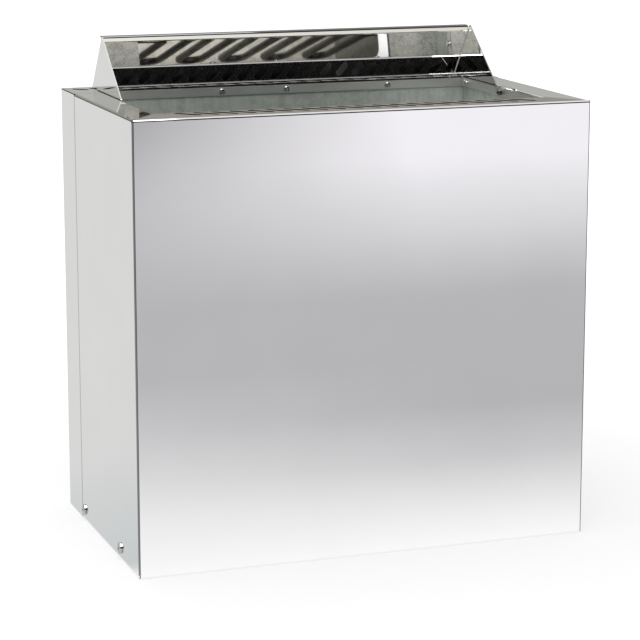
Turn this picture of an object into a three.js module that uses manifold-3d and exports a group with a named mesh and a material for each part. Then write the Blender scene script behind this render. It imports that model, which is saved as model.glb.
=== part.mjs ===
// Electric sauna heater: a folded sheet casing round a galvanised heating chamber, with an air-guide hood.
// Millimetres, +Z up, +Y to the back; the origin is the middle of the underside.
import * as THREE from "three";
import { mergeVertices } from "three/addons/utils/BufferGeometryUtils.js";
import Module from "manifold-3d";

const wasm = await Module();
wasm.setup();

// Casing
const BODY_WIDTH = 500;
const BODY_DEPTH = 300;
const RIM_HEIGHT = 475;
const SHEET = 1.2;
const BEND = 1.8;
const BEND_STEPS = 3;
const FIT = 0.3;
const FRONT_GAP = 2.2;
const REAR_STRIP = 60;
const SIDE_RETURN = 14;
const FOOT_RETURN = 20;
const BASE_EDGE = 22;
const INLET_ROWS = [-70, 0, 70];
const INLET_PITCH = 36.5;
const INLET_WIDTH = 12;
const INLET_LENGTH = 52;

// Rim round the opening
const SIDE_FLANGE = 33;
const FRONT_FLANGE = 45;
const BACK_FLANGE = 33;
const LIP = 11.5;
const SLOT_PITCH = 19.4;
const SLOT_WIDTH = 7;
const FRONT_SLOT_REACH = 24;
const BACK_SLOT_REACH = 17;
const SLOT_EDGE = 4;

// Hood over the back of the opening
const HOOD_SETBACK = 10;
const HOOD_LEAN = 45;
const HOOD_RISE = 60;
const HOOD_DEPTH = 121;
const HOOD_FOOT = 8;
const HOOD_HEM = 6.5;
const HOOD_RETURN = 9;
const SKIRT = 10;

// Chamber and its terminal housings
const UNDER_GAP = 10;
const CHAMBER_DEPTH = 240;
const FLOOR_SHEET = 1.5;
const FLOOR_SLOT_PITCH = 33.4;
const FLOOR_SLOT_WIDTH = 8;
const FLOOR_SLOT_LENGTH = 28;
const RAIL = 16;
const HOUSING_DROP = 52;
const LEFT_MARGIN = 37.5;
const RIGHT_MARGIN = 22;
const SHIELD_WIDTH = 11;
const SHIELD_CORNER = 19;
const SHIELD_GAP = 2.5;
const SHIELD_FLANGE = 6;

// Heating elements
const TUBE = 8.5;
const TUBE_SIDES = 8;
const ROWS = 3;
const ROW_PITCH = 70;
const ROW_INSET = 40;
const HAIRPINS = 5;
const LEG_SPACING = 29.5;
const TOP_SPACING = 24.5;
const BANK_SHIFT = 14.2;
const ELEMENT_DROP = 48;
const ELEMENT_HEIGHT = 175;
const COLD_DROP = 16;
const COLD_END = 22;
const COLD_BEND = 14;
const ELEMENT_NUT = 16;
const ELEMENT_NUT_LENGTH = 7;

// Screws: radius and height of the round head, radius and length of the shank
const LIP_SCREW = { head: 3.6, height: 2.2, shank: 2, length: 7 };
const PANEL_SCREW = { head: 6, height: 3, shank: 3, length: 9 };
const STOP_PIN = { head: 3.8, height: 4.5, shank: 2.2, length: 7 };
const SCREW_SIDES = 10;
const HEAD_EDGE = 0.3;
const HOLE_ROOM = 0.4;
const LIP_SCREW_RISE = 4.5;
const BACK_SCREWS_X = [-74, 2, 124];
const FRONT_SCREWS_X = [-130, 130];
const STOP_PIN_LEAD = 10;
const FRONT_SCREW_INSET = 76;
const SEAM_SCREW_INSET = 11;
const PANEL_SCREW_Z = 11.5;

// Terminals, wires and cable gland
const STAR_SHEET = 2;
const STAR_HEIGHT = 14;
const STAR_OVERHANG = 8;
const BLOCK_DEPTH = 26;
const BLOCK_FOOT = 90;
const BLOCK_HEIGHT = 32;
const POLES = 5;
const POLE_PITCH = 22;
const WELL_DEPTH = 8;
const WELL_RIM = 4;
const WIRE = 4;
const WIRE_RATIO = 0.382;
const WIRE_TURN_RATIO = 0.7;
const WIRE_DROP = 20;
const WIRE_LEAD = 30;
const EARTH_OFFSET = 23;
const EARTH_RADIUS = 3;
const EARTH_LENGTH = 18;
const EARTH_COLLAR = 3;
const EARTH_NUT = 10;
const EARTH_NUT_LENGTH = 5;
const GLAND_Z = 62;
const GLAND_THREAD = 20;
const GLAND_WALL = 4;
const GLAND_TAIL = 9;
const GLAND_COLLAR = 6;
const GLAND_NECK = 9;
const LOCK_NUT_LENGTH = 5;
const DOME_NUT_LENGTH = 14;
const DOME_CAP = 4;
const CABLE_BORE = 6.5;

// Edges that follow from the sizes above
const HALF_WIDTH = BODY_WIDTH / 2;
const FRONT = -BODY_DEPTH / 2;
const BACK = BODY_DEPTH / 2;
const SEAM = BACK - REAR_STRIP;
const OPEN_X = HALF_WIDTH - SIDE_FLANGE;
const OPEN_FRONT = FRONT + FRONT_FLANGE;
const OPEN_BACK = BACK - BACK_FLANGE;
const MID = SHEET / 2;
const CORNER = BEND + SHEET;
const PANEL_FRONT = FRONT + SHEET + FRONT_GAP;
const LIP_FOOT = RIM_HEIGHT - LIP;
const LIP_SCREW_Z = LIP_FOOT + LIP_SCREW_RISE;
const SIDE_SCREW_Y = (SEAM + OPEN_BACK) / 2;
const PANEL_SCREWS_Y = [FRONT + FRONT_SCREW_INSET, SEAM - SEAM_SCREW_INSET];
const WALL_X = OPEN_X + SHEET + FIT;
const WALL_FRONT = OPEN_FRONT - SHEET - FIT;
const WALL_BACK = OPEN_BACK + SHEET + FIT;
const WALL_FOOT = BASE_EDGE + UNDER_GAP;
const WALL_TOP = RIM_HEIGHT - CORNER - FIT;
const CHEEK_X = OPEN_X - FIT;
const HOOD_BASE = RIM_HEIGHT + FIT;
const HOOD_TOP = RIM_HEIGHT + HOOD_RISE;
const HOOD_FOOT_Y = BACK - HOOD_SETBACK;
const HOOD_TOP_Y = HOOD_FOOT_Y - HOOD_LEAN;
const HOOD_FRONT_Y = HOOD_FOOT_Y - HOOD_DEPTH;
const STOP_PIN_Y = HOOD_FRONT_Y - STOP_PIN_LEAD;
const CHAMBER_FLOOR = RIM_HEIGHT - CHAMBER_DEPTH;
const CHAMBER_FRONT = WALL_FRONT + FIT;
const CHAMBER_BACK = WALL_BACK - FIT;
const HOUSING_TOP = RIM_HEIGHT - HOUSING_DROP;
const ELEMENT_ROWS = Array.from({ length: ROWS }, (_, i) => OPEN_BACK - ROW_INSET - i * ROW_PITCH);
const ELEMENT_TOP = RIM_HEIGHT - ELEMENT_DROP;
const COLD_END_Z = ELEMENT_TOP - COLD_DROP;
const LOW_END_Z = ELEMENT_TOP - ELEMENT_HEIGHT + TUBE / 2;
const HAIRPIN_PITCH = LEG_SPACING + TOP_SPACING;
const BANK = HAIRPINS * HAIRPIN_PITCH - TOP_SPACING;
const FIRST_LEG_X = BANK_SHIFT - BANK / 2;
const LAST_LEG_X = BANK_SHIFT + BANK / 2;
const LEFT_HOUSING_X = LEFT_MARGIN - FIRST_LEG_X;
const RIGHT_HOUSING_X = RIGHT_MARGIN + LAST_LEG_X;
const FLOOR_LEFT = FIT - LEFT_HOUSING_X;
const FLOOR_RIGHT = RIGHT_HOUSING_X - FIT;
const BLOCK_X = RIGHT_HOUSING_X + SHEET + FIT;
const BLOCK_TOP = BLOCK_FOOT + BLOCK_HEIGHT;
const BLOCK_HALF = (POLES * POLE_PITCH) / 2;
const GLAND_X = (RIGHT_HOUSING_X + WALL_X) / 2;
const GLAND_RADIUS = GLAND_THREAD / 2;
const GLAND_OUTSIDE = WALL_BACK + SHEET + FIT;
const GLAND_INSIDE = CHAMBER_BACK - SHEET - FIT;

const polished = new THREE.MeshStandardMaterial({ color: 0xd8d8d6, roughness: 0.06, metalness: 1 });
const galvanised = new THREE.MeshStandardMaterial({ color: 0x9fa49f, roughness: 0.45, metalness: 0.9 });
const elementSteel = new THREE.MeshStandardMaterial({ color: 0x2b2a28, roughness: 0.55, metalness: 0.8 });
const screwSteel = new THREE.MeshStandardMaterial({ color: 0xb9bab8, roughness: 0.25, metalness: 1 });
const brass = new THREE.MeshStandardMaterial({ color: 0xb08d4a, roughness: 0.35, metalness: 1 });
const ceramic = new THREE.MeshStandardMaterial({ color: 0xe9e4d8, roughness: 0.5, metalness: 0 });
const silicone = new THREE.MeshStandardMaterial({ color: 0x7d2a20, roughness: 0.6, metalness: 0 });
const blackPlastic = new THREE.MeshStandardMaterial({ color: 0x1d1d1e, roughness: 0.5, metalness: 0 });

const AXIS_X = new THREE.Vector3(1, 0, 0);
const AXIS_Y = new THREE.Vector3(0, 1, 0);
const AXIS_Z = new THREE.Vector3(0, 0, 1);
const at = (x, y) => new THREE.Vector2(x, y);

function solid(geometry) {
  const bare = geometry.clone();
  bare.deleteAttribute("normal");
  bare.deleteAttribute("uv");
  const merged = mergeVertices(bare, 1e-4);
  const mesh = new wasm.Mesh({
    numProp: 3,
    vertProperties: new Float32Array(merged.attributes.position.array),
    triVerts: new Uint32Array(merged.index.array),
  });
  return new wasm.Manifold(mesh);
}

function geometryOf(manifold) {
  const mesh = manifold.getMesh();
  const geometry = new THREE.BufferGeometry();
  geometry.setAttribute("position", new THREE.BufferAttribute(mesh.vertProperties, 3));
  geometry.setIndex(new THREE.BufferAttribute(mesh.triVerts, 1));
  geometry.computeVertexNormals();
  return geometry;
}

function join(...pieces) {
  const [first, ...rest] = pieces.map(solid);
  return geometryOf(rest.reduce((whole, piece) => whole.add(piece), first));
}

function cut(geometry, ...tools) {
  return geometryOf(tools.map(solid).reduce((whole, tool) => whole.subtract(tool), solid(geometry)));
}

function box(x0, x1, y0, y1, z0, z1) {
  const geometry = new THREE.BoxGeometry(Math.abs(x1 - x0), Math.abs(y1 - y0), Math.abs(z1 - z0));
  return geometry.translate((x0 + x1) / 2, (y0 + y1) / 2, (z0 + z1) / 2);
}

// A cylinder between two points
function rod(radius, from, to, sides = 20) {
  const along = to.clone().sub(from);
  const geometry = new THREE.CylinderGeometry(radius, radius, along.length(), sides);
  const turn = new THREE.Quaternion().setFromUnitVectors(AXIS_Y, along.clone().normalize());
  return geometry.applyQuaternion(turn).translate(...from.clone().lerp(to, 0.5).toArray());
}

function extrude(shape, depth, curveSegments = 2) {
  return new THREE.ExtrudeGeometry(shape, { depth, bevelEnabled: false, curveSegments });
}

// A shape drawn in (y, z), (x, z) or (x, y), drawn out along the third axis
function alongX(shape, x0, x1) {
  const frame = new THREE.Matrix4().makeBasis(AXIS_Y, AXIS_Z, AXIS_X).setPosition(x0, 0, 0);
  return extrude(shape, x1 - x0).applyMatrix4(frame);
}

function alongY(shape, y0, y1) {
  const frame = new THREE.Matrix4().makeBasis(AXIS_X, AXIS_Z, AXIS_Y.clone().negate());
  return extrude(shape, y1 - y0).applyMatrix4(frame.setPosition(0, y1, 0));
}

function alongZ(shape, z0, z1, curveSegments) {
  return extrude(shape, z1 - z0, curveSegments).translate(0, 0, z0);
}

// Corners of a line rounded to arcs; each corner may carry its own radius
function roundedLine(corners, steps) {
  const points = [];
  corners.forEach(({ point, radius }, i) => {
    if (!radius) {
      points.push(point);
      return;
    }
    const into = point.clone().sub(corners[i - 1].point).normalize();
    const out = corners[i + 1].point.clone().sub(point).normalize();
    const turn = Math.atan2(into.cross(out), into.dot(out));
    const inward = at(-into.y, into.x).multiplyScalar(Math.sign(turn));
    const start = point.clone().addScaledVector(into, -radius * Math.tan(Math.abs(turn) / 2));
    const centre = start.addScaledVector(inward, radius);
    for (let step = 0; step <= steps; step++) {
      const arm = inward.clone().multiplyScalar(-radius);
      points.push(arm.rotateAround(at(0, 0), (turn * step) / steps).add(centre));
    }
  });
  return points.filter((point, i) => i === 0 || point.distanceTo(points[i - 1]) > 1e-3);
}

// The direction of a line at each of its points
function tangents(points) {
  return points.map((point, i) => {
    const before = points[Math.max(i - 1, 0)];
    const after = points[Math.min(i + 1, points.length - 1)];
    const into = point.clone().sub(before).normalize();
    const out = after.clone().sub(point).normalize();
    return into.add(out).normalize();
  });
}

// Outline of a bent sheet whose middle line runs through the given corners
function foldedSheet(...corners) {
  const last = corners.length - 1;
  const bends = corners.map((point, i) => ({ point, radius: i > 0 && i < last ? BEND : 0 }));
  const middle = roundedLine(bends, BEND_STEPS);
  const normals = tangents(middle).map((along) => at(-along.y, along.x));
  const left = middle.map((point, i) => point.clone().addScaledVector(normals[i], MID));
  const right = middle.map((point, i) => point.clone().addScaledVector(normals[i], -MID));
  return new THREE.Shape([...left, ...right.reverse()]);
}

// A slot with round ends between two points
function roundSlot(from, to, width) {
  const along = to.clone().sub(from);
  const angle = Math.atan2(along.y, along.x);
  const shape = new THREE.Shape();
  shape.absarc(to.x, to.y, width / 2, angle - Math.PI / 2, angle + Math.PI / 2, false);
  shape.absarc(from.x, from.y, width / 2, angle + Math.PI / 2, angle + Math.PI * 1.5, false);
  shape.closePath();
  return shape;
}

// Middles of a row of copies, spread about zero
function spread(count, pitch) {
  return Array.from({ length: count }, (_, i) => (i - (count - 1) / 2) * pitch);
}

// Slanted air slots across a rim flange, in a row along the width
function rimSlots(yFront, reach, reachX) {
  const count = Math.floor((2 * reachX) / SLOT_PITCH) + 1;
  const half = (reach - SLOT_WIDTH) / 2;
  const middleY = yFront + reach / 2;
  return spread(count, SLOT_PITCH).map((x) => {
    const slot = roundSlot(at(x - half, middleY + half), at(x + half, middleY - half), SLOT_WIDTH);
    return alongZ(slot, LIP_FOOT, RIM_HEIGHT + SHEET);
  });
}

// The mitre between the front flange and a side flange runs from the outer to the opening's corner
function mitreX(y) {
  return HALF_WIDTH - ((y - FRONT) * SIDE_FLANGE) / FRONT_FLANGE;
}

function mitreTool(side, y0, x1, y1, shift) {
  const edge = (y) => side * (mitreX(y) + shift);
  const shape = new THREE.Shape([at(edge(y0), y0), at(edge(y1), y1), at(side * x1, y1), at(side * x1, y0)]);
  return alongZ(shape, LIP_FOOT - SHEET, RIM_HEIGHT + SHEET);
}

// A round-headed screw along +Y with the underside of its head at the origin
function screwShape({ head, height, shank, length }) {
  const dome = Array.from({ length: BEND_STEPS + 1 }, (_, i) => {
    const angle = ((i / BEND_STEPS) * Math.PI) / 2;
    return at(head * Math.sin(angle), height * (HEAD_EDGE + (1 - HEAD_EDGE) * Math.cos(angle)));
  });
  const stem = [at(head, 0), at(shank, 0), at(shank, -length), at(0, -length)];
  return new THREE.LatheGeometry([...dome, ...stem].reverse(), SCREW_SIDES);
}

function holeAlong(screw, axis, x, y, z) {
  const point = new THREE.Vector3(x, y, z);
  const half = axis.clone().multiplyScalar(screw.length);
  return rod(screw.shank + HOLE_ROOM, point.clone().sub(half), point.clone().add(half), SCREW_SIDES);
}

const heater = new THREE.Group();
const casing = new THREE.Group();
const hood = new THREE.Group();
const chamber = new THREE.Group();
const wiring = new THREE.Group();
heater.add(casing, hood, chamber, wiring);

function piece(parent, name, geometry, material) {
  const mesh = new THREE.Mesh(geometry, material);
  mesh.name = name;
  parent.add(mesh);
  return mesh;
}

function screwPiece(name, screw, outward, x, y, z) {
  const mesh = piece(casing, name, screwShape(screw), screwSteel);
  mesh.position.set(x, y, z);
  mesh.quaternion.setFromUnitVectors(AXIS_Y, outward);
}

// Front panel: foot return, polished face, slotted flange and lip folded from one sheet
function frontPanel() {
  const profile = foldedSheet(
    at(FRONT + FOOT_RETURN, MID),
    at(FRONT + MID, MID),
    at(FRONT + MID, RIM_HEIGHT - MID),
    at(OPEN_FRONT - MID, RIM_HEIGHT - MID),
    at(OPEN_FRONT - MID, LIP_FOOT),
  );
  const sheet = alongX(profile, -HALF_WIDTH, HALF_WIDTH);
  const past = HALF_WIDTH + SHEET;
  const mitres = [-1, 1].map((side) => mitreTool(side, PANEL_FRONT, past, OPEN_FRONT + SHEET, -FIT));
  const footEnd = HALF_WIDTH - FOOT_RETURN - FIT;
  const footEnds = [-1, 1].map((side) =>
    box(side * footEnd, side * past, PANEL_FRONT - FIT, WALL_FRONT, -SHEET, CORNER),
  );
  const slotsFront = OPEN_FRONT - SLOT_EDGE - FRONT_SLOT_REACH;
  const slots = rimSlots(slotsFront, FRONT_SLOT_REACH, OPEN_X - FRONT_SLOT_REACH);
  const holes = FRONT_SCREWS_X.map((x) => holeAlong(LIP_SCREW, AXIS_Y, x, OPEN_FRONT, LIP_SCREW_Z));
  return cut(sheet, ...mitres, ...footEnds, ...slots, ...holes);
}

// Side panel: foot return, face, flange and lip, with returns along the front and the seam
function sidePanel(side) {
  const face = side * (HALF_WIDTH - MID);
  const end = SEAM - FIT / 2;
  const profile = foldedSheet(
    at(side * (HALF_WIDTH - FOOT_RETURN), MID),
    at(face, MID),
    at(face, RIM_HEIGHT - MID),
    at(side * (OPEN_X + MID), RIM_HEIGHT - MID),
    at(side * (OPEN_X + MID), LIP_FOOT),
  );
  const plan = foldedSheet(
    at(face - side * SIDE_RETURN, PANEL_FRONT + MID),
    at(face, PANEL_FRONT + MID),
    at(face, end - MID),
    at(face - side * SIDE_RETURN, end - MID),
  );
  const sheet = join(
    alongY(profile, PANEL_FRONT + CORNER, end),
    alongZ(plan, CORNER, RIM_HEIGHT - CORNER),
  );
  const slit = FRONT + FOOT_RETURN + FIT;
  const inside = side * (OPEN_X - SHEET);
  const lipBack = side * (OPEN_X + CORNER);
  const tools = [
    mitreTool(side, FRONT - SHEET, OPEN_X - SIDE_FLANGE, OPEN_FRONT + SHEET, 0),
    box(face - side * CORNER, side * WALL_X, PANEL_FRONT, slit, -SHEET, CORNER),
    box(inside, lipBack, PANEL_FRONT, OPEN_FRONT, LIP_FOOT - SHEET, RIM_HEIGHT - SHEET),
    holeAlong(STOP_PIN, AXIS_X, side * OPEN_X, STOP_PIN_Y, LIP_SCREW_Z),
    ...PANEL_SCREWS_Y.map((y) => holeAlong(PANEL_SCREW, AXIS_X, face, y, PANEL_SCREW_Z)),
  ];
  return cut(sheet, ...tools);
}

// Rear casing: back sheet and side strips, with a slotted flange and lip round three sides
function backPanel() {
  const start = SEAM + FIT / 2;
  const face = HALF_WIDTH - MID;
  const plan = foldedSheet(
    at(SIDE_RETURN - face, start + MID),
    at(-face, start + MID),
    at(-face, BACK - MID),
    at(face, BACK - MID),
    at(face, start + MID),
    at(face - SIDE_RETURN, start + MID),
  );
  const outerX = HALF_WIDTH - FIT;
  const innerX = OPEN_X + CORNER;
  const innerY = OPEN_BACK + CORNER;
  const cornerX = OPEN_X + FIT;
  const cornerY = OPEN_BACK + FIT;
  const flange = new THREE.Shape([
    at(-outerX, start + FIT),
    at(-innerX, start + FIT),
    at(-innerX, cornerY),
    at(-cornerX, cornerY),
    at(-cornerX, innerY),
    at(cornerX, innerY),
    at(cornerX, cornerY),
    at(innerX, cornerY),
    at(innerX, start + FIT),
    at(outerX, start + FIT),
    at(outerX, BACK - CORNER),
    at(outerX - CORNER, BACK - FIT),
    at(CORNER - outerX, BACK - FIT),
    at(-outerX, BACK - CORNER),
  ]);
  const lipTop = RIM_HEIGHT - FIT;
  const bentLip = (edge, outward) =>
    foldedSheet(
      at(edge + outward * (CORNER + MID), RIM_HEIGHT - MID),
      at(edge + outward * MID, RIM_HEIGHT - MID),
      at(edge + outward * MID, LIP_FOOT),
    );
  const sideLip = (side) => alongY(bentLip(side * OPEN_X, side), start, OPEN_BACK + MID);
  const backLip = alongX(bentLip(OPEN_BACK, 1), -OPEN_X - MID, OPEN_X + MID);
  const sheet = join(
    alongZ(plan, 0, lipTop),
    alongZ(flange, RIM_HEIGHT - SHEET, RIM_HEIGHT),
    backLip,
    sideLip(-1),
    sideLip(1),
  );
  const slots = rimSlots(OPEN_BACK + SLOT_EDGE, BACK_SLOT_REACH, HALF_WIDTH - BACK_SLOT_REACH / 2 - SHEET);
  const cableHole = rod(
    GLAND_RADIUS + GLAND_WALL + SHEET,
    new THREE.Vector3(GLAND_X, BACK - CORNER, GLAND_Z),
    new THREE.Vector3(GLAND_X, BACK + SHEET, GLAND_Z),
    28,
  );
  const holes = [
    ...BACK_SCREWS_X.map((x) => holeAlong(LIP_SCREW, AXIS_Y, x, OPEN_BACK, LIP_SCREW_Z)),
    ...[-1, 1].map((side) => holeAlong(LIP_SCREW, AXIS_X, side * OPEN_X, SIDE_SCREW_Y, LIP_SCREW_Z)),
  ];
  return cut(sheet, ...slots, cableHole, ...holes);
}

// Base tray with turned-up edges and rows of air inlets
function basePlate() {
  const half = HALF_WIDTH - SHEET - FIT;
  const low = SHEET + FIT;
  const rear = SEAM - FIT / 2 - CORNER - FIT;
  const narrow = HALF_WIDTH - SHEET - SIDE_RETURN - FIT;
  const profile = foldedSheet(
    at(MID - half, low + BASE_EDGE),
    at(MID - half, low + MID),
    at(half - MID, low + MID),
    at(half - MID, low + BASE_EDGE),
  );
  const backEdge = BACK - SHEET - FIT;
  const tail = foldedSheet(
    at(rear - FOOT_RETURN, low + MID),
    at(backEdge - MID, low + MID),
    at(backEdge - MID, low + BASE_EDGE),
  );
  const tray = join(
    alongY(profile, PANEL_FRONT + CORNER + FIT, rear),
    alongX(tail, -narrow, narrow),
  );
  const columns = Math.floor((2 * RIGHT_HOUSING_X) / INLET_PITCH);
  const reach = (INLET_LENGTH - INLET_WIDTH) / 2;
  const inlets = INLET_ROWS.flatMap((y) =>
    spread(columns, INLET_PITCH).map((x) =>
      alongZ(roundSlot(at(x, y - reach), at(x, y + reach), INLET_WIDTH), 0, BASE_EDGE / 2),
    ),
  );
  const screws = [-1, 1].flatMap((side) =>
    PANEL_SCREWS_Y.map((y) => holeAlong(PANEL_SCREW, AXIS_X, side * half, y, PANEL_SCREW_Z)),
  );
  return cut(tray, ...inlets, ...screws);
}

piece(casing, "front_panel", frontPanel(), polished);
piece(casing, "left_side_panel", sidePanel(-1), polished);
piece(casing, "right_side_panel", sidePanel(1), polished);
piece(casing, "back_panel", backPanel(), polished);
piece(casing, "base_plate", basePlate(), galvanised);

const TOWARDS_FRONT = AXIS_Y.clone().negate();
for (const [side, label] of [[-1, "left"], [1, "right"]]) {
  const outward = AXIS_X.clone().multiplyScalar(side);
  const inward = outward.clone().negate();
  const panelX = side * (HALF_WIDTH + FIT);
  PANEL_SCREWS_Y.forEach((y, i) => {
    screwPiece(`${label}_panel_screw_${i + 1}`, PANEL_SCREW, outward, panelX, y, PANEL_SCREW_Z);
  });
  screwPiece(`${label}_stop_pin`, STOP_PIN, inward, side * (OPEN_X - FIT), STOP_PIN_Y, LIP_SCREW_Z);
  const cheekInside = side * (CHEEK_X - SHEET - FIT);
  screwPiece(`${label}_lip_screw`, LIP_SCREW, inward, cheekInside, SIDE_SCREW_Y, LIP_SCREW_Z);
}
BACK_SCREWS_X.forEach((x, i) => {
  screwPiece(`back_lip_screw_${i + 1}`, LIP_SCREW, TOWARDS_FRONT, x, OPEN_BACK - FIT, LIP_SCREW_Z);
});
FRONT_SCREWS_X.forEach((x, i) => {
  screwPiece(`front_lip_screw_${i + 1}`, LIP_SCREW, AXIS_Y, x, OPEN_FRONT + FIT, LIP_SCREW_Z);
});

// Hood plate: a foot that rests on the back flange, the leaning mirror, an upright hem and a return behind it
function hoodPlate() {
  const foot = at(HOOD_FOOT_Y, HOOD_BASE + MID);
  const top = at(HOOD_TOP_Y, HOOD_TOP);
  const knee = foot.clone().lerp(top, 1 - HOOD_HEM / HOOD_RISE);
  const profile = foldedSheet(
    at(HOOD_FOOT_Y + HOOD_FOOT, HOOD_BASE + MID),
    foot,
    knee,
    at(knee.x, HOOD_TOP - MID),
    at(knee.x + HOOD_RETURN, HOOD_TOP - MID),
  );
  const half = CHEEK_X - SHEET - FIT;
  return alongX(profile, -half, half);
}

// Hood cheek: a triangle with a skirt inside the lip, slotted to drop over the lip screw
function hoodCheek(side) {
  const skirtFoot = RIM_HEIGHT - SKIRT;
  const step = OPEN_BACK - 2 * FIT - LIP_SCREW.height;
  const outline = new THREE.Shape([
    at(HOOD_FRONT_Y, skirtFoot),
    at(step, skirtFoot),
    at(step, HOOD_BASE),
    at(HOOD_FOOT_Y + SHEET, HOOD_BASE),
    at(HOOD_TOP_Y + SHEET, HOOD_TOP),
    at(HOOD_TOP_Y, HOOD_TOP),
    at(HOOD_FRONT_Y, RIM_HEIGHT),
  ]);
  const inner = side * (CHEEK_X - SHEET);
  const outer = side * CHEEK_X;
  const sheet = alongX(outline, Math.min(inner, outer), Math.max(inner, outer));
  const room = LIP_SCREW.shank + HOLE_ROOM;
  const slotFoot = skirtFoot - SHEET;
  const slotTop = LIP_SCREW_Z + room;
  const slot = box(inner - side, outer + side, SIDE_SCREW_Y - room, SIDE_SCREW_Y + room, slotFoot, slotTop);
  return cut(sheet, slot);
}

piece(hood, "hood_plate", hoodPlate(), polished);
piece(hood, "hood_left_cheek", hoodCheek(-1), polished);
piece(hood, "hood_right_cheek", hoodCheek(1), polished);

// Inner walls hang behind the lips, each with a stiffening return at its foot
function crossWall(inner, outward, screws, extra) {
  const profile = foldedSheet(
    at(inner + outward * SIDE_RETURN, WALL_FOOT + MID),
    at(inner + outward * MID, WALL_FOOT + MID),
    at(inner + outward * MID, WALL_TOP),
  );
  const half = WALL_X + SHEET;
  const holes = screws.map((x) => holeAlong(LIP_SCREW, AXIS_Y, x, inner, LIP_SCREW_Z));
  return cut(alongX(profile, -half, half), ...holes, ...extra);
}

function endWall(side) {
  const profile = foldedSheet(
    at(side * (WALL_X + SIDE_RETURN), WALL_FOOT + MID),
    at(side * (WALL_X + MID), WALL_FOOT + MID),
    at(side * (WALL_X + MID), WALL_TOP),
  );
  const holes = [
    holeAlong(STOP_PIN, AXIS_X, side * WALL_X, STOP_PIN_Y, LIP_SCREW_Z),
    holeAlong(LIP_SCREW, AXIS_X, side * WALL_X, SIDE_SCREW_Y, LIP_SCREW_Z),
  ];
  return cut(alongY(profile, CHAMBER_FRONT, CHAMBER_BACK), ...holes);
}

const glandPoint = (y) => new THREE.Vector3(GLAND_X, y, GLAND_Z);
const glandHole = rod(
  GLAND_RADIUS + HOLE_ROOM,
  glandPoint(GLAND_INSIDE - GLAND_TAIL),
  glandPoint(GLAND_OUTSIDE + GLAND_COLLAR),
  24,
);

piece(chamber, "inner_front_wall", crossWall(WALL_FRONT, -1, FRONT_SCREWS_X, []), galvanised);
piece(chamber, "inner_back_wall", crossWall(WALL_BACK, 1, BACK_SCREWS_X, [glandHole]), galvanised);
piece(chamber, "inner_left_wall", endWall(-1), galvanised);
piece(chamber, "inner_right_wall", endWall(1), galvanised);

// Terminal housings: boxes at the ends of the element bank, open towards the end walls
function housing(side, innerX, foot, extra) {
  const outer = side * (WALL_X - FIT);
  const inner = side * innerX;
  const shell = box(inner, outer, CHAMBER_FRONT, CHAMBER_BACK, foot, HOUSING_TOP);
  const room = box(
    inner + side * SHEET,
    outer + side,
    CHAMBER_FRONT + SHEET,
    CHAMBER_BACK - SHEET,
    foot + SHEET,
    HOUSING_TOP - SHEET,
  );
  const holes = ELEMENT_ROWS.map((y) =>
    rod(
      TUBE / 2 + HOLE_ROOM,
      new THREE.Vector3(inner - side * CORNER, y, COLD_END_Z),
      new THREE.Vector3(inner + side * CORNER, y, COLD_END_Z),
    ),
  );
  return cut(shell, room, ...holes, ...extra);
}

const leftHousing = housing(-1, LEFT_HOUSING_X, CHAMBER_FLOOR, []);
const rightHousing = housing(1, RIGHT_HOUSING_X, WALL_FOOT, [glandHole]);
piece(chamber, "left_terminal_housing", leftHousing, galvanised);
piece(chamber, "right_terminal_housing", rightHousing, galvanised);

// Bright shield over the right end of the bank, rounded into the back corner
function shieldPlate() {
  const right = RIGHT_HOUSING_X - SHIELD_GAP;
  const left = right - SHIELD_WIDTH;
  const inside = CHAMBER_BACK - CORNER;
  const plan = new THREE.Shape();
  plan.moveTo(right, CHAMBER_FRONT);
  plan.lineTo(right, CHAMBER_BACK);
  plan.lineTo(left - SHIELD_CORNER, CHAMBER_BACK);
  plan.lineTo(left - SHIELD_CORNER, inside);
  plan.absarc(left - SHIELD_CORNER, inside - SHIELD_CORNER, SHIELD_CORNER, Math.PI / 2, 0, true);
  plan.lineTo(left, CHAMBER_FRONT);
  plan.closePath();
  const flangeFoot = HOUSING_TOP - SHIELD_FLANGE;
  const flange = box(
    right - SHEET,
    right - FIT,
    CHAMBER_FRONT + FIT,
    CHAMBER_BACK - FIT,
    flangeFoot,
    HOUSING_TOP - MID,
  );
  return join(alongZ(plan, HOUSING_TOP - SHEET, HOUSING_TOP, 12), flange);
}

// Chamber floor with rows of air slots between the element rows, and the rails that carry it
function chamberFloor() {
  const top = CHAMBER_FLOOR + FLOOR_SHEET;
  const plate = box(FLOOR_LEFT, FLOOR_RIGHT, CHAMBER_FRONT, CHAMBER_BACK, CHAMBER_FLOOR, top);
  const columns = Math.floor((FLOOR_RIGHT - FLOOR_LEFT) / FLOOR_SLOT_PITCH);
  const middle = (FLOOR_LEFT + FLOOR_RIGHT) / 2;
  const reach = (FLOOR_SLOT_LENGTH - FLOOR_SLOT_WIDTH) / 2;
  const slots = ELEMENT_ROWS.map((y) => y - ROW_PITCH / 2).flatMap((y) =>
    spread(columns, FLOOR_SLOT_PITCH).map((shift) => {
      const x = middle + shift;
      const slot = roundSlot(at(x - reach, y), at(x + reach, y), FLOOR_SLOT_WIDTH);
      return alongZ(slot, CHAMBER_FLOOR - SHEET, top + SHEET);
    }),
  );
  return cut(plate, ...slots);
}

function floorRail(wall, inward) {
  const top = CHAMBER_FLOOR - FIT;
  const profile = foldedSheet(
    at(wall + inward * (FIT + MID), top - RAIL),
    at(wall + inward * (FIT + MID), top - MID),
    at(wall + inward * (FIT + RAIL), top - MID),
  );
  return alongX(profile, FLOOR_LEFT, FLOOR_RIGHT);
}

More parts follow.
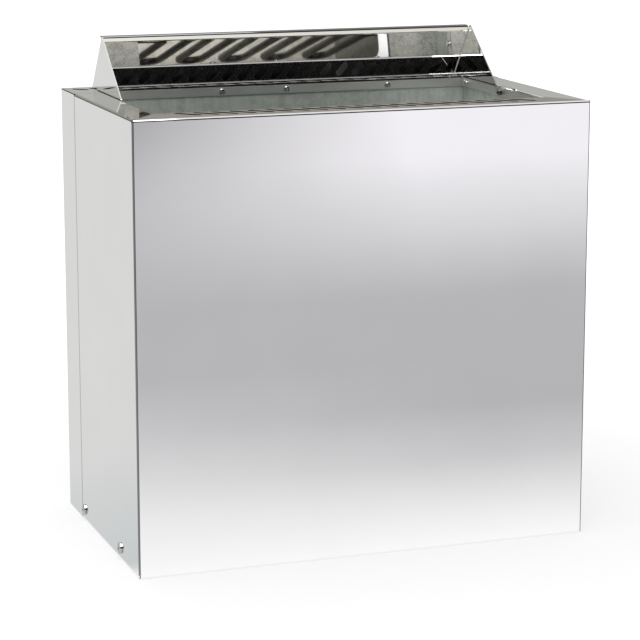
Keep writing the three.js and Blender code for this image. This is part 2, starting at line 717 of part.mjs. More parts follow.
piece(chamber, "shield_plate", shieldPlate(), polished);
piece(chamber, "chamber_floor", chamberFloor(), galvanised);
piece(chamber, "front_floor_rail", floorRail(WALL_FRONT, 1), galvanised);
piece(chamber, "back_floor_rail", floorRail(WALL_BACK, -1), galvanised);

// A path in an upright plane, kept at its own points so that straight runs stay straight
class UprightPath extends THREE.Curve {
  constructor(points, y) {
    super();
    this.flat = points;
    this.y = y;
  }

  getSpacedPoints() {
    return this.flat.map((point) => new THREE.Vector3(point.x, this.y, point.y));
  }

  computeFrenetFrames() {
    const along = tangents(this.flat).map((t) => new THREE.Vector3(t.x, 0, t.y));
    return {
      tangents: along,
      normals: along.map((t) => AXIS_Y.clone().cross(t)),
      binormals: along.map(() => AXIS_Y.clone()),
    };
  }
}

function roundSection(radius) {
  const points = Array.from({ length: TUBE_SIDES }, (_, i) => {
    const angle = (i / TUBE_SIDES) * Math.PI * 2;
    return at(radius * Math.cos(angle), radius * Math.sin(angle));
  });
  return new THREE.Shape(points);
}

// One element: in from the left housing, down and up through its hairpins, out into the right housing
function elementPath() {
  const legTop = ELEMENT_TOP - TUBE / 2;
  const corners = [{ point: at(-LEFT_HOUSING_X - COLD_END, COLD_END_Z) }];
  for (let i = 0; i < HAIRPINS; i++) {
    const down = FIRST_LEG_X + i * HAIRPIN_PITCH;
    const up = down + LEG_SPACING;
    const first = i === 0;
    const last = i === HAIRPINS - 1;
    corners.push(
      { point: at(down, first ? COLD_END_Z : legTop), radius: first ? COLD_BEND : TOP_SPACING / 2 },
      { point: at(down, LOW_END_Z), radius: LEG_SPACING / 2 },
      { point: at(up, LOW_END_Z), radius: LEG_SPACING / 2 },
      { point: at(up, last ? COLD_END_Z : legTop), radius: last ? COLD_BEND : TOP_SPACING / 2 },
    );
  }
  corners.push({ point: at(RIGHT_HOUSING_X + COLD_END, COLD_END_Z) });
  return roundedLine(corners, BEND_STEPS + 1);
}

function heatingElement(y) {
  const path = elementPath();
  return new THREE.ExtrudeGeometry(roundSection(TUBE / 2), {
    steps: path.length - 1,
    bevelEnabled: false,
    extrudePath: new UprightPath(path, y),
  });
}

// Hexagonal nut with a bore, along an axis from a point
function nut(flats, bore, length, from, axis) {
  const to = from.clone().addScaledVector(axis, length);
  return cut(rod(flats / Math.sqrt(3), from, to, 6), rod(bore, from.clone().sub(axis), to.clone().add(axis)));
}

const elementNut = (x, y, z, axis) =>
  nut(ELEMENT_NUT, TUBE / 2 + HOLE_ROOM, ELEMENT_NUT_LENGTH, new THREE.Vector3(x, y, z), axis);

ELEMENT_ROWS.forEach((y, i) => {
  const leftNut = elementNut(-LEFT_HOUSING_X - SHEET - FIT, y, COLD_END_Z, AXIS_X.clone().negate());
  const rightNut = elementNut(RIGHT_HOUSING_X + SHEET + FIT, y, COLD_END_Z, AXIS_X);
  piece(chamber, `heating_element_${i + 1}`, heatingElement(y), elementSteel);
  piece(chamber, `left_element_nut_${i + 1}`, leftNut, brass);
  piece(chamber, `right_element_nut_${i + 1}`, rightNut, brass);
});

// Star bar across the left ends of the three elements
const starX = -LEFT_HOUSING_X - COLD_END - FIT;
const starBar = box(
  starX - STAR_SHEET,
  starX,
  Math.min(...ELEMENT_ROWS) - STAR_OVERHANG,
  Math.max(...ELEMENT_ROWS) + STAR_OVERHANG,
  COLD_END_Z - STAR_HEIGHT / 2,
  COLD_END_Z + STAR_HEIGHT / 2,
);
piece(wiring, "star_bar", starBar, brass);

// Terminal block on the wall of the right housing, with a wire from each element's right end
function terminalBlock() {
  const face = BLOCK_X + BLOCK_DEPTH;
  const body = box(BLOCK_X, face, -BLOCK_HALF, BLOCK_HALF, BLOCK_FOOT, BLOCK_TOP);
  const half = POLE_PITCH / 2 - WELL_RIM;
  const low = BLOCK_FOOT + 2 * WELL_RIM;
  const high = BLOCK_TOP - 2 * WELL_RIM;
  const wells = spread(POLES, POLE_PITCH).map((y) =>
    box(face - WELL_DEPTH, face + FIT, y - half, y + half, low, high),
  );
  return cut(body, ...wells);
}

function phaseWire(y, poleY) {
  const endX = RIGHT_HOUSING_X + COLD_END + 3 * FIT;
  const reach = (WALL_X - endX) * WIRE_RATIO;
  const poleX = BLOCK_X + BLOCK_DEPTH / 2;
  const middle = (COLD_END_Z + BLOCK_TOP) / 2;
  const route = new THREE.CatmullRomCurve3([
    new THREE.Vector3(endX, y, COLD_END_Z),
    new THREE.Vector3(endX + reach * WIRE_TURN_RATIO, y, COLD_END_Z - WIRE / 2),
    new THREE.Vector3(endX + reach, y, COLD_END_Z - WIRE_DROP),
    new THREE.Vector3(endX + reach / 2, (y + poleY) / 2, middle),
    new THREE.Vector3(poleX, poleY, BLOCK_TOP + WIRE_LEAD),
    new THREE.Vector3(poleX, poleY, BLOCK_TOP + FIT),
  ]);
  return new THREE.ExtrudeGeometry(roundSection(WIRE / 2), {
    steps: 16,
    bevelEnabled: false,
    extrudePath: route,
  });
}

piece(wiring, "terminal_block", terminalBlock(), ceramic);
const poles = spread(ROWS, -POLE_PITCH);
ELEMENT_ROWS.forEach((y, i) => {
  piece(wiring, `phase_wire_${i + 1}`, phaseWire(y, poles[i]), silicone);
});

// Earth stud and nut beside the terminal block
const earthPoint = (reach) =>
  new THREE.Vector3(BLOCK_X + reach, BLOCK_HALF + EARTH_OFFSET, (BLOCK_FOOT + BLOCK_TOP) / 2);
const earthStud = join(
  rod(2 * EARTH_RADIUS, earthPoint(0), earthPoint(EARTH_COLLAR)),
  rod(EARTH_RADIUS, earthPoint(EARTH_COLLAR / 2), earthPoint(EARTH_LENGTH)),
);
const earthNutFoot = earthPoint(EARTH_COLLAR + FIT);
piece(wiring, "earth_stud", earthStud, brass);
piece(wiring, "earth_nut", nut(EARTH_NUT, EARTH_RADIUS + FIT, EARTH_NUT_LENGTH, earthNutFoot, AXIS_X), brass);

// Cable gland through the back of the right housing: body, lock nut inside, dome nut outside
function glandBody() {
  const collarEnd = GLAND_OUTSIDE + GLAND_COLLAR;
  const inCollar = glandPoint(GLAND_OUTSIDE + GLAND_COLLAR / 2);
  const tailEnd = GLAND_INSIDE - GLAND_TAIL;
  const body = join(
    rod(GLAND_RADIUS, glandPoint(tailEnd), inCollar, 24),
    rod(GLAND_RADIUS + GLAND_WALL, glandPoint(GLAND_OUTSIDE), glandPoint(collarEnd), 6),
    rod(GLAND_RADIUS - HOLE_ROOM, inCollar, glandPoint(collarEnd + GLAND_NECK), 24),
  );
  return cut(body, rod(CABLE_BORE, glandPoint(tailEnd - FIT), glandPoint(collarEnd + GLAND_NECK + FIT)));
}

function domeNut() {
  const inner = GLAND_RADIUS;
  const outer = GLAND_RADIUS + GLAND_WALL;
  const capFoot = DOME_NUT_LENGTH - DOME_CAP;
  const profile = [
    at(inner, 0),
    at(outer, 0),
    at(outer, capFoot - DOME_CAP / 2),
    at((outer + inner) / 2, capFoot + DOME_CAP / 2),
    at((inner + CABLE_BORE) / 2, DOME_NUT_LENGTH),
    at(CABLE_BORE, DOME_NUT_LENGTH),
    at(CABLE_BORE, capFoot),
    at(inner, capFoot),
    at(inner, 0),
  ];
  const ring = new THREE.LatheGeometry(profile, 20);
  return ring.translate(GLAND_X, GLAND_OUTSIDE + GLAND_COLLAR + FIT, GLAND_Z);
}

const lockNutFlats = GLAND_THREAD + 1.5 * GLAND_WALL;
const lockNutFoot = glandPoint(GLAND_INSIDE);
const lockNut = nut(lockNutFlats, GLAND_RADIUS + FIT, LOCK_NUT_LENGTH, lockNutFoot, TOWARDS_FRONT);
piece(wiring, "gland_body", glandBody(), blackPlastic);
piece(wiring, "gland_lock_nut", lockNut, blackPlastic);
piece(wiring, "gland_dome_nut", domeNut(), blackPlastic);

export default heater;
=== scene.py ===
import math

import bmesh
import bpy
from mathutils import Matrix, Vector


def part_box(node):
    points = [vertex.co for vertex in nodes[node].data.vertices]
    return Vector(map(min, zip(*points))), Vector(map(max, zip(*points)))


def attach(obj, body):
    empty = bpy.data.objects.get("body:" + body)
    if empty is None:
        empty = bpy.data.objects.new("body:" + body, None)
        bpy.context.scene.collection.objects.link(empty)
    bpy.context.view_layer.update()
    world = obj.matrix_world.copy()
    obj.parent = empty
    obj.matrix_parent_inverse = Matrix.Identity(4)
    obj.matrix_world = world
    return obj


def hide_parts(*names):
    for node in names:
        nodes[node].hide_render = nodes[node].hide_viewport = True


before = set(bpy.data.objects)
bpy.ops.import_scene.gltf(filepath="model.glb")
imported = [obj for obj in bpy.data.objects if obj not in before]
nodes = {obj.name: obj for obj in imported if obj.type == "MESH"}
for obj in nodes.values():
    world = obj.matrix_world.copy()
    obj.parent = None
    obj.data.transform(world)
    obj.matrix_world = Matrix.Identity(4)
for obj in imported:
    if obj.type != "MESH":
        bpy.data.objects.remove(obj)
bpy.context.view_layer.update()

# Inner walls, base tray, terminal housings, chamber floor and its rails.
# They are folded from hot-dip galvanised sheet, cut and bent after coating. The walls hang behind the rim's
# lips, and the housings and the floor stand between them.
MM = 0.001
WALLS = ["base_plate", "inner_front_wall", "inner_back_wall", "inner_left_wall", "inner_right_wall"]
HOUSINGS = ["left_terminal_housing", "right_terminal_housing"]
FLOOR = ["chamber_floor", "front_floor_rail", "back_floor_rail"]


def colour(code):
    parts = [int(code[i:i + 2], 16) / 255 for i in (1, 3, 5)]
    return [c / 12.92 if c <= 0.04045 else ((c + 0.055) / 1.055) ** 2.4 for c in parts] + [1.0]


# Sockets go by name, or by number where a node has several of one name: a Mix takes its factor at 0, numbers
# at 2 and 3, and colours at 6 and 7.
def add(tree, kind, inputs=None, stops=(), **settings):
    made = tree.nodes.new("ShaderNode" + kind)
    for name, value in settings.items():
        setattr(made, name, value)
    for i, (place, code) in enumerate(stops):
        line = made.color_ramp.elements
        stop = line[i] if i < len(line) else line.new(place)
        stop.position = place
        stop.color = colour(code)
    for name, value in (inputs or {}).items():
        if isinstance(value, bpy.types.NodeSocket):
            tree.links.new(value, made.inputs[name])
        else:
            made.inputs[name].default_value = value
    return made


def finish_for(name):
    material = bpy.data.materials.new(name)
    material.use_nodes = True
    tree = material.node_tree
    tree.nodes.clear()
    return material, tree


def dress(material, names):
    for name in names:
        slots = nodes[name].data.materials
        slots.clear()
        slots.append(material)


# Galvanised steel, dipped and left bare: faint zinc crystals about 6 mm across, a dry speckle, drawn at
# 1.1 mm so that it shows, and on the walls long smears from rolling. The copies differ in tone: the walls
# are bluish, the housings dull, and the floor pale and warm, which is partly painted light from above.
SPANGLE, SPECKLE, SMEAR = 6 * MM, 1.1 * MM, 9 * MM
SMEAR_DRAWN, SPANGLE_SHARE = 0.04, 0.1
for name, names, dark, middle, light, drag in [
    ("galvanised_wall_steel", WALLS, "#b0b7b1", "#c6cdc7", "#d8dfd9", 0.4),
    ("galvanised_housing_steel", HOUSINGS, "#62625c", "#8b8b84", "#9c9c95", 0.05),
    ("galvanised_floor_steel", FLOOR, "#948f84", "#d3cfc3", "#ebe7dc", 0.05),
]:
    zinc, tree = finish_for(name)
    where = add(tree, "TexCoord").outputs["Object"]
    crystals = add(tree, "TexVoronoi", {"Vector": where, "Scale": 1 / SPANGLE})
    tint = add(tree, "SeparateColor", {"Color": crystals.outputs["Color"]})
    speckle = add(tree, "TexNoise", {
        "Vector": where, "Scale": 1 / SPECKLE, "Detail": 3.0, "Roughness": 0.65,
    })
    drawn = add(tree, "Mapping", {"Vector": where, "Scale": (1 / SMEAR, 1 / SMEAR, SMEAR_DRAWN / SMEAR)})
    smear = add(tree, "TexNoise", {"Vector": drawn.outputs[0], "Scale": 1.0, "Detail": 3.0})
    mottle = add(tree, "Mix", {0: drag, 2: speckle.outputs["Fac"], 3: smear.outputs["Fac"]})
    mottle = add(tree, "Mix", {0: SPANGLE_SHARE, 2: mottle.outputs[0], 3: tint.outputs[0]})
    zinc_tone = add(tree, "ValToRGB", {"Fac": mottle.outputs[0]}, stops=[
        (0.36, dark), (0.5, middle), (0.66, light),
    ])
    dull = add(tree, "MapRange", {"Value": smear.outputs["Fac"], "To Min": 0.36, "To Max": 0.5})
    grit = add(tree, "Bump", {"Height": speckle.outputs["Fac"], "Strength": 0.12, "Distance": 0.15 * MM})
    surface = add(tree, "BsdfPrincipled", {
        "Base Color": zinc_tone.outputs["Color"], "Roughness": dull.outputs["Result"],
        "Normal": grit.outputs["Normal"], "Metallic": 0.5,
    })
    add(tree, "OutputMaterial", {"Surface": surface.outputs[0]})
    dress(zinc, names)

# Heating elements: three rows of 8.5 mm heat-resisting steel tube, bent on a former into upright hairpins.
# Their ends pass through the housings' walls, where nuts hold them.
TUBE, TUBE_SIDES, BEND_STEPS, LEAST_STEP = 8.5 * MM, 20, 10, 0.01 * MM
HAIRPINS, FIRST_LEG, LEG_SPACING, TOP_SPACING = 5, -108.55 * MM, 29.5 * MM, 24.5 * MM
LEG_TOP, LEG_FOOT, END_LEVEL, END_BEND = 422.75 * MM, 256.25 * MM, 411 * MM, 14 * MM
LEFT_END, RIGHT_END = -168.05 * MM, 180.95 * MM
ELEMENT_ROWS = {"heating_element_1": 77 * MM, "heating_element_2": 7 * MM, "heating_element_3": -63 * MM}


def bent_line(corners):
    line = []
    for i, (x, z, radius) in enumerate(corners):
        point = Vector((x, z))
        if not radius:
            line.append(point)
            continue
        into = (point - Vector(corners[i - 1][:2])).normalized()
        out = (Vector(corners[i + 1][:2]) - point).normalized()
        turn = into.angle(out)
        side = (out - into * into.dot(out)).normalized()
        start = point - into * radius * math.tan(turn / 2)
        for step in range(BEND_STEPS + 1):
            angle = turn * step / BEND_STEPS
            line.append(start + into * radius * math.sin(angle) + side * radius * (1 - math.cos(angle)))
    return [point for i, point in enumerate(line) if i == 0 or (point - line[i - 1]).length > LEAST_STEP]


def skin(shape, rings):
    for near, far in zip(rings, rings[1:]):
        for k in range(len(near)):
            shape.faces.new((near[k - 1], near[k], far[k], far[k - 1]))
    shape.faces.new(rings[0])
    shape.faces.new(rings[-1])


def piece(name, shape, finish, node):
    bmesh.ops.recalc_face_normals(shape, faces=shape.faces)
    for face in shape.faces:
        face.smooth = True
    mesh = bpy.data.meshes.new(name)
    shape.to_mesh(mesh)
    shape.free()
    made = bpy.data.objects.new(name, mesh)
    bpy.context.collection.objects.link(made)
    mesh.materials.append(finish)
    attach(made, "casing")
    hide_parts(node)
    return made


# Oxidised steel: use has burnt the tube a dark brown-grey, in clouds about 18 mm long with a dull sheen.
BURN = 18 * MM
oxide, tree = finish_for("oxidised_tube_steel")
where = add(tree, "TexCoord").outputs["Object"]
burn = add(tree, "TexNoise", {"Vector": where, "Scale": 1 / BURN, "Detail": 5.0, "Roughness": 0.6})
burnt = add(tree, "ValToRGB", {"Fac": burn.outputs["Fac"]}, stops=[(0.3, "#262421"), (0.7, "#4a463f")])
crust = add(tree, "MapRange", {"Value": burn.outputs["Fac"], "To Min": 0.32, "To Max": 0.48})
surface = add(tree, "BsdfPrincipled", {
    "Base Color": burnt.outputs["Color"], "Roughness": crust.outputs["Result"], "Metallic": 0.7,
})
add(tree, "OutputMaterial", {"Surface": surface.outputs[0]})

corners = [(LEFT_END, END_LEVEL, 0)]
for i in range(HAIRPINS):
    down = FIRST_LEG + i * (LEG_SPACING + TOP_SPACING)
    up = down + LEG_SPACING
    start = (END_LEVEL, END_BEND) if i == 0 else (LEG_TOP, TOP_SPACING / 2)
    end = (END_LEVEL, END_BEND) if i == HAIRPINS - 1 else (LEG_TOP, TOP_SPACING / 2)
    foot = (LEG_FOOT, LEG_SPACING / 2)
    corners += [(down, *start), (down, *foot), (up, *foot), (up, *end)]
corners.append((RIGHT_END, END_LEVEL, 0))
line = bent_line(corners)
for node, row in ELEMENT_ROWS.items():
    shape = bmesh.new()
    rings = []
    for i, point in enumerate(line):
        along = (line[min(i + 1, len(line) - 1)] - line[max(i - 1, 0)]).normalized()
        ring = []
        for k in range(TUBE_SIDES):
            angle = 2 * math.pi * k / TUBE_SIDES
            off = Vector((-along.y, along.x)) * math.cos(angle) * TUBE / 2
            depth = row + math.sin(angle) * TUBE / 2
            ring.append(shape.verts.new((point.x + off.x, depth, point.y + off.y)))
        rings.append(ring)
    skin(shape, rings)
    piece("bent_" + node, shape, oxide, node)

# Fixing nuts on the element ends, the star bar and the earth stud with its nut.
# They are turned and stamped from brass, and screwed on inside the housings. Tarnish leaves brown clouds
# about 5 mm across on a soft gold sheen.
BRASS = [f"{side}_element_nut_{i}" for side in ("left", "right") for i in (1, 2, 3)]
BRASS += ["star_bar", "earth_stud", "earth_nut"]
TARNISH = 5 * MM
brass, tree = finish_for("tarnished_brass")
where = add(tree, "TexCoord").outputs["Object"]
tarnish = add(tree, "TexNoise", {"Vector": where, "Scale": 1 / TARNISH, "Detail": 4.0})
gold = add(tree, "ValToRGB", {"Fac": tarnish.outputs["Fac"]}, stops=[(0.35, "#9c7a3c"), (0.65, "#c9a860")])
surface = add(tree, "BsdfPrincipled", {
    "Base Color": gold.outputs["Color"], "Roughness": 0.35, "Metallic": 1.0,
})
add(tree, "OutputMaterial", {"Surface": surface.outputs[0]})
dress(brass, BRASS)

# Terminal block: steatite, pressed in a die, fired and left unglazed, and fixed inside the right housing.
# It is cream and matt, with a dry grain that is finer than it is drawn here, at 1.2 mm.
GRAIN = 1.2 * MM
steatite, tree = finish_for("unglazed_steatite")
where = add(tree, "TexCoord").outputs["Object"]
grain = add(tree, "TexNoise", {"Vector": where, "Scale": 1 / GRAIN, "Detail": 3.0})
cream = add(tree, "ValToRGB", {"Fac": grain.outputs["Fac"]}, stops=[(0.3, "#ddd7c8"), (0.7, "#efebdf")])
bump = add(tree, "Bump", {"Height": grain.outputs["Fac"], "Strength": 0.15, "Distance": 0.1 * MM})
surface = add(tree, "BsdfPrincipled", {
    "Base Color": cream.outputs["Color"], "Roughness": 0.6, "Normal": bump.outputs["Normal"],
})
add(tree, "OutputMaterial", {"Surface": surface.outputs[0]})
dress(steatite, ["terminal_block"])

# Phase wires: copper under a glass braid coated with silicone, from the terminal block to the element ends.
# The braid is matt and red-brown, with slanting threads drawn at 3 mm so that they show.
THREAD = 3 * MM
silicone, tree = finish_for("silicone_braid")
where = add(tree, "TexCoord").outputs["Object"]
braid = add(tree, "TexWave", {
    "Vector": where, "Scale": 1 / THREAD, "Distortion": 2.0,
}, bands_direction="DIAGONAL")
russet = add(tree, "ValToRGB", {"Fac": braid.outputs["Fac"]}, stops=[(0.2, "#6d2419"), (0.8, "#8a3325")])
surface = add(tree, "BsdfPrincipled", {"Base Color": russet.outputs["Color"], "Roughness": 0.65})
add(tree, "OutputMaterial", {"Surface": surface.outputs[0]})
dress(silicone, ["phase_wire_1", "phase_wire_2", "phase_wire_3"])

# Cable gland: body, lock nut and dome nut of moulded black polyamide, screwed through the back of the casing.
# The mould's spark-eroded wall gives a fine satin texture, drawn at 0.8 mm so that it shows.
SPARK = 0.8 * MM
polyamide, tree = finish_for("moulded_polyamide")
where = add(tree, "TexCoord").outputs["Object"]
spark = add(tree, "TexNoise", {"Vector": where, "Scale": 1 / SPARK, "Detail": 2.0})
black = add(tree, "ValToRGB", {"Fac": spark.outputs["Fac"]}, stops=[(0.3, "#19191a"), (0.7, "#232324")])
bump = add(tree, "Bump", {"Height": spark.outputs["Fac"], "Strength": 0.2, "Distance": 0.05 * MM})
surface = add(tree, "BsdfPrincipled", {
    "Base Color": black.outputs["Color"], "Roughness": 0.48, "Normal": bump.outputs["Normal"],
})
add(tree, "OutputMaterial", {"Surface": surface.outputs[0]})
dress(polyamide, ["gland_body", "gland_lock_nut", "gland_dome_nut"])

# Casing, hood and shield: stainless sheet about 1.2 mm thick, cut, punched and folded.
# The panels are screwed to the base tray and meet in narrow joints. The hood stands loose on the rim, with
# its skirts behind the lips.
POLISHED = ["front_panel", "left_side_panel", "right_side_panel", "back_panel"]
POLISHED += ["hood_plate", "hood_left_cheek", "hood_right_cheek", "shield_plate"]
SIDE_FACE, FRONT_JOINT, REAR_JOINT = 249.1 * MM, -144.5 * MM, 90 * MM
RIM_FOOT, RIM_MIDDLE, RIM_TOP = 473.95 * MM, 474.5 * MM, 475.1 * MM
FLANGE_END, MITRE_SLOPE, MITRE_REACH = -104.5 * MM, 33 / 45, 140 * MM
LIP_TOP, LIP_SIDE, LIP_BACK = 473 * MM, 218.3 * MM, 118.3 * MM
HOOD_FOOT, CHEEK_SIDE, CREST = 475.6 * MM, 214.5 * MM, 533.4 * MM

# Stainless steel buffed to a mirror: it shows the room, through a faint haze in clouds about 70 mm wide that
# buffing leaves, and the sheet waves a little between its folds.
HAZE, WAVE = 70 * MM, 190 * MM
mirror, tree = finish_for("mirror_stainless")
where = add(tree, "TexCoord").outputs["Object"]
place = add(tree, "SeparateXYZ", {"Vector": where})
facing = add(tree, "NewGeometry").outputs["Normal"]
haze = add(tree, "TexNoise", {"Vector": where, "Scale": 1 / HAZE, "Detail": 3.0})
rough = add(tree, "MapRange", {"Value": haze.outputs["Fac"], "To Min": 0.02, "To Max": 0.06})
sway = add(tree, "TexNoise", {"Vector": where, "Scale": 1 / WAVE, "Detail": 1.0})
bright = add(tree, "ValToRGB", {"Fac": haze.outputs["Fac"]}, stops=[(0.2, "#f1f0f0"), (0.8, "#f5f4f4")])

# Where the sheet differs: tests of a point's place and of the way its face looks, multiplied together.
# The front flange ends at its mitres. The punched edges are the steep faces in the rim's own thickness, and
# the sheared ones are those faces of the hood's cheeks that don't look sideways.
STEEP, TURNED = 0.4, 0.3
across = add(tree, "Math", {0: place.outputs["X"]}, operation="ABSOLUTE").outputs[0]
along = add(tree, "Math", {0: place.outputs["Y"]}, operation="ABSOLUTE").outputs[0]
mitred = add(tree, "Math", {
    0: place.outputs["Y"], 1: MITRE_SLOPE, 2: across,
}, operation="MULTIPLY_ADD").outputs[0]
look = add(tree, "SeparateXYZ", {"Vector": facing})
slope = add(tree, "Math", {0: look.outputs["Z"]}, operation="ABSOLUTE").outputs[0]
turned = add(tree, "Math", {0: look.outputs["X"]}, operation="ABSOLUTE").outputs[0]
up, back = place.outputs["Z"], place.outputs["Y"]
areas = {}
for area, tests in {
    "flange": [(up, ">", RIM_MIDDLE), (back, "<", FLANGE_END), (mitred, "<", MITRE_REACH)],
    "punched": [(up, ">", RIM_FOOT), (up, "<", RIM_TOP), (slope, "<", STEEP)],
    "sheared": [(turned, "<", TURNED), (up, ">", HOOD_FOOT), (across, ">", CHEEK_SIDE)],
    "lip": [(up, "<", LIP_TOP), (across, "<", LIP_SIDE), (along, "<", LIP_BACK)],
    "side": [(across, ">", SIDE_FACE)],
}.items():
    for value, sign, limit in tests:
        test = "GREATER_THAN" if sign == ">" else "LESS_THAN"
        passed = add(tree, "Math", {0: value, 1: limit}, operation=test).outputs[0]
        if area in areas:
            passed = add(tree, "Math", {0: areas[area], 1: passed}, operation="MULTIPLY").outputs[0]
        areas[area] = passed

# The front flange droops a few degrees from its fold, so the light runs along it differently.
DROOP = -0.08
lean = add(tree, "VectorMath", {0: (0, DROOP, 0), "Scale": areas["flange"]}, operation="SCALE")
leaning = add(tree, "VectorMath", {0: facing, 1: lean.outputs[0]}, operation="ADD")
upright = add(tree, "VectorMath", {0: leaning.outputs[0]}, operation="NORMALIZE")
bump = add(tree, "Bump", {
    "Height": sway.outputs["Fac"], "Strength": 0.2, "Distance": 0.4 * MM, "Normal": upright.outputs[0],
})

# Painted shade darkens the joints between the panels, with some grime, and a painted dark reflection lines
# the front panel's upright edges and the fold along the hood's top.
FRONT_SOFT, REAR_CORE, REAR_SOFT, REAR_SHADE, CREST_SOFT = 1 * MM, 1 * MM, 2.4 * MM, 0.7, 0.4 * MM
front_line = add(tree, "MapRange", {
    "Value": back, "From Min": FRONT_JOINT + FRONT_SOFT, "From Max": FRONT_JOINT - FRONT_SOFT,
})
beside = add(tree, "Math", {0: back, 1: REAR_JOINT}, operation="SUBTRACT")
beside = add(tree, "Math", {0: beside.outputs[0]}, operation="ABSOLUTE")
rear_line = add(tree, "MapRange", {
    "Value": beside.outputs[0], "From Min": REAR_SOFT, "From Max": REAR_CORE, "To Max": REAR_SHADE,
})
lines = add(tree, "Math", {0: front_line.outputs[0], 1: rear_line.outputs[0]}, operation="MAXIMUM")
painted_dark_lines = add(tree, "Math", {0: areas["side"], 1: lines.outputs[0]}, operation="MULTIPLY")
crest = add(tree, "MapRange", {
    "Value": up, "From Min": CREST - CREST_SOFT, "From Max": CREST + CREST_SOFT,
})
painted_dark_lines = add(tree, "Math", {0: painted_dark_lines.outputs[0], 1: crest.outputs[0]}, operation="MAXIMUM")

# Punched edges are matt and dark, sheared ones satin, and the lips are scuffed where the hood's skirts slide.
tone, matt = bright.outputs["Color"], rough.outputs["Result"]
# The first of these tones is the painted shade and painted dark reflection along the joints and folds.
for spread, mark_tone in [
    (painted_dark_lines.outputs[0], "#6e7072"), (areas["punched"], "#1d1b18"), (areas["sheared"], "#8a8883"),
]:
    tone = add(tree, "Mix", {0: spread, 6: tone, 7: colour(mark_tone)}, data_type="RGBA").outputs[2]
for area, dulled in (("punched", 0.5), ("sheared", 0.25), ("lip", 0.28)):
    matt = add(tree, "Math", {0: areas[area], 1: dulled, 2: matt}, operation="MULTIPLY_ADD").outputs[0]
surface = add(tree, "BsdfPrincipled", {
    "Base Color": tone, "Roughness": matt, "Normal": bump.outputs["Normal"], "Metallic": 1.0,
})
add(tree, "OutputMaterial", {"Surface": surface.outputs[0]})
dress(mirror, POLISHED)

# Screws and stop pins: steel, cold headed. The screws have round heads with a cross recess, and hold the
# panels and the lips. The pins that stop the hood have plain domes, and are pressed into the side lips.
# Each is given by radius and height of the head, radius and length of the shank, and depth of the recess.
LIP_SCREW = (3.6 * MM, 2.2 * MM, 2.0 * MM, 7.0 * MM, 0.9 * MM)
PANEL_SCREW = (6.0 * MM, 3.0 * MM, 3.0 * MM, 9.0 * MM, 1.3 * MM)
STOP_PIN = (3.8 * MM, 4.5 * MM, 2.2 * MM, 7.0 * MM, 0.0)
HEAD_RINGS, HEAD_SIDES, HEAD_WALL, SHARP = 18, 56, 0.3, math.radians(40)
ARM_WIDTH, ARM_LENGTH, ARM_SOFT = 0.13, 0.58, 0.06

# Zinc plating is pale and bright, and burnished steel darker. Both cloud a little, in patches of about 3 mm.
BLOOM = 3 * MM
headed = {}
for name, dark, light in [
    ("zinc_plated_steel", "#c6c7c5", "#dcdddb"), ("burnished_steel", "#4d4d4a", "#72726e"),
]:
    headed[name], tree = finish_for(name)
    where = add(tree, "TexCoord").outputs["Object"]
    bloom = add(tree, "TexNoise", {"Vector": where, "Scale": 1 / BLOOM, "Detail": 3.0})
    rough = add(tree, "MapRange", {"Value": bloom.outputs["Fac"], "To Min": 0.1, "To Max": 0.22})
    head_tone = add(tree, "ValToRGB", {"Fac": bloom.outputs["Fac"]}, stops=[(0.3, dark), (0.7, light)])
    surface = add(tree, "BsdfPrincipled", {
        "Base Color": head_tone.outputs["Color"], "Roughness": rough.outputs["Result"], "Metallic": 1.0,
    })
    add(tree, "OutputMaterial", {"Surface": surface.outputs[0]})


def arm(across, along, radius):
    wide, long, soft = ARM_WIDTH * radius, ARM_LENGTH * radius, ARM_SOFT * radius
    return min(1, max(0, (wide - abs(across)) / soft + 0.5)) * min(1, max(0, (long - abs(along)) / soft))


def screw(node, kind, outward):
    radius, height, shank, length, recess = kind
    low, high = (Vector(corner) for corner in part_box(node))
    seat = (low + high) / 2 + outward * ((high - low).dot(Vector(map(abs, outward))) / 2 - height)
    turn = Vector((0, 0, 1)).rotation_difference(outward)
    circle = [2 * math.pi * k / HEAD_SIDES for k in range(HEAD_SIDES)]
    shape = bmesh.new()
    rings = []
    for i in range(HEAD_RINGS, 0, -1):
        reach = radius * math.sin(math.pi / 2 * i / HEAD_RINGS)
        dome = height * (HEAD_WALL + (1 - HEAD_WALL) * math.cos(math.pi / 2 * i / HEAD_RINGS))
        rings.append([])
        for angle in circle:
            x, y = reach * math.cos(angle), reach * math.sin(angle)
            sunk = recess * max(arm(x, y, radius), arm(y, x, radius))
            rings[-1].append(shape.verts.new(seat + turn @ Vector((x, y, dome - sunk))))
    for reach, level in ((radius, 0), (shank, 0), (shank, -length)):
        points = [Vector((reach * math.cos(angle), reach * math.sin(angle), level)) for angle in circle]
        rings.insert(0, [shape.verts.new(seat + turn @ point) for point in points])
    skin(shape, rings)
    finish = headed["burnished_steel" if kind is STOP_PIN else "zinc_plated_steel"]
    made = piece("turned_" + node, shape, finish, node)
    made.data.set_sharp_from_angle(angle=SHARP)


for side, outward in (("left", Vector((-1, 0, 0))), ("right", Vector((1, 0, 0)))):
    screw(side + "_panel_screw_1", PANEL_SCREW, outward)
    screw(side + "_panel_screw_2", PANEL_SCREW, outward)
    screw(side + "_lip_screw", LIP_SCREW, -outward)
    screw(side + "_stop_pin", STOP_PIN, -outward)
for i in (1, 2, 3):
    screw(f"back_lip_screw_{i}", LIP_SCREW, Vector((0, -1, 0)))
for i in (1, 2):
    screw(f"front_lip_screw_{i}", LIP_SCREW, Vector((0, 1, 0)))
